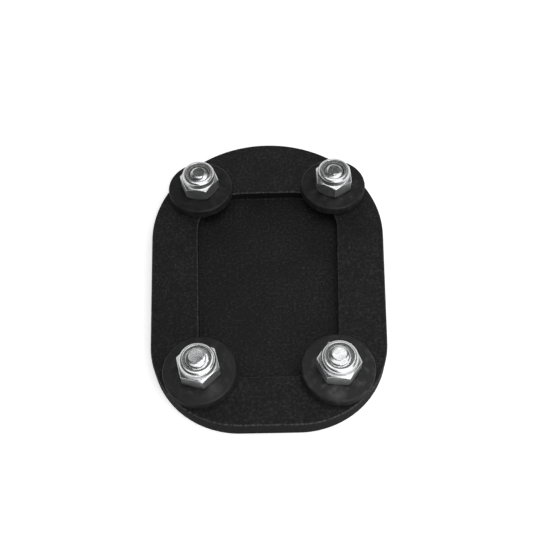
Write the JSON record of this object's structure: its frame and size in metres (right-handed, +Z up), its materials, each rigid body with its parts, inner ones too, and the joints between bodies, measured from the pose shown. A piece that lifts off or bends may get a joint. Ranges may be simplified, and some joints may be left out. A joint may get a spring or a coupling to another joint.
{
  "type": "kickstand foot enlarger",
  "caption": "Black powder-coated plate with a pocket for a motorcycle side stand's foot, clamped by thick discs, countersunk bolts and lock nuts.",
  "frame": {"origin": "on the ground, under the middle of the plate's outline", "axes": "+Z up, +Y to the plate's round far end, +X to the right seen from the straight near edge"},
  "size_m": [0.067, 0.093, 0.0162],
  "materials": {
    "coated_plate": "fine-textured black powder coat",
    "coated_disc": "satin black powder coat",
    "plated_bolt": "bright zinc plating on steel",
    "plated_nut": "bright zinc plating on steel",
    "nylon": "moulded natural nylon"
  },
  "bodies": {
    "root": {"base_plate": "coated_plate", "clamp_disc_near_left": "coated_disc", "bolt_near_left": "plated_bolt", "lock_nut_near_left": "plated_nut", "nylon_ring_near_left": "nylon", "clamp_disc_near_right": "coated_disc", "bolt_near_right": "plated_bolt", "lock_nut_near_right": "plated_nut", "nylon_ring_near_right": "nylon", "clamp_disc_far_left": "coated_disc", "bolt_far_left": "plated_bolt", "lock_nut_far_left": "plated_nut", "nylon_ring_far_left": "nylon", "clamp_disc_far_right": "coated_disc", "bolt_far_right": "plated_bolt", "lock_nut_far_right": "plated_nut", "nylon_ring_far_right": "nylon"}
  },
  "joints": []
}
